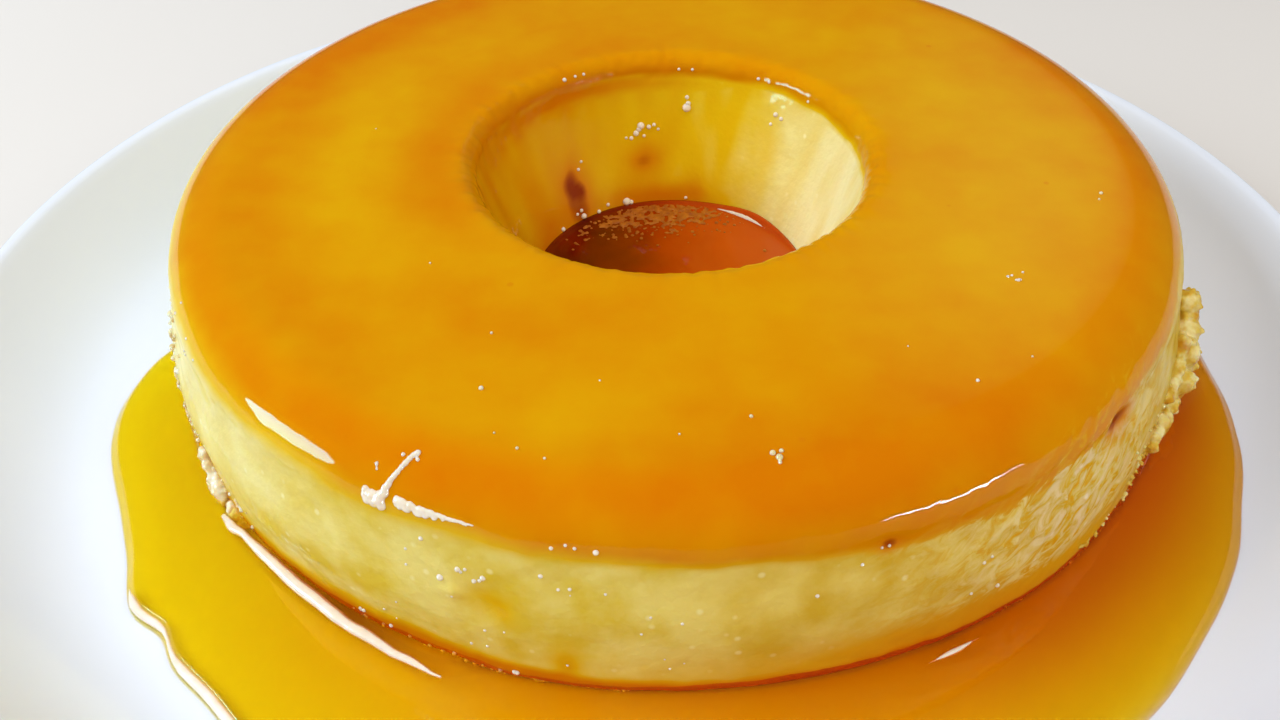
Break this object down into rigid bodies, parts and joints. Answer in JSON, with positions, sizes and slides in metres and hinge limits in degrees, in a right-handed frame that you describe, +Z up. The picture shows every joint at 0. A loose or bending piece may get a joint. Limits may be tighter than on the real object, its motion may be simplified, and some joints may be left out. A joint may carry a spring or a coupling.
{
  "type": "leche flan",
  "caption": "Caramel-topped custard ring turned out on a round white dinner plate, with caramel syrup pooled round it and in its hole.",
  "frame": {"origin": "centre of the plate's foot, on the table", "axes": "+Z up; -Y is the front, where the syrup pool is widest; +X to the right seen from the front"},
  "size_m": [0.275, 0.275, 0.0452],
  "materials": {
    "porcelain": "smooth white glaze",
    "custard": "moist set custard, pale yellow at the side, soaked orange with caramel on top",
    "syrup": "clear amber caramel syrup",
    "deep_syrup": "dark caramel syrup where it stands deep"
  },
  "bodies": {
    "root": {"plate": "porcelain", "flan": "custard", "syrup_pool": "syrup", "hole_syrup": "deep_syrup"}
  },
  "joints": []
}
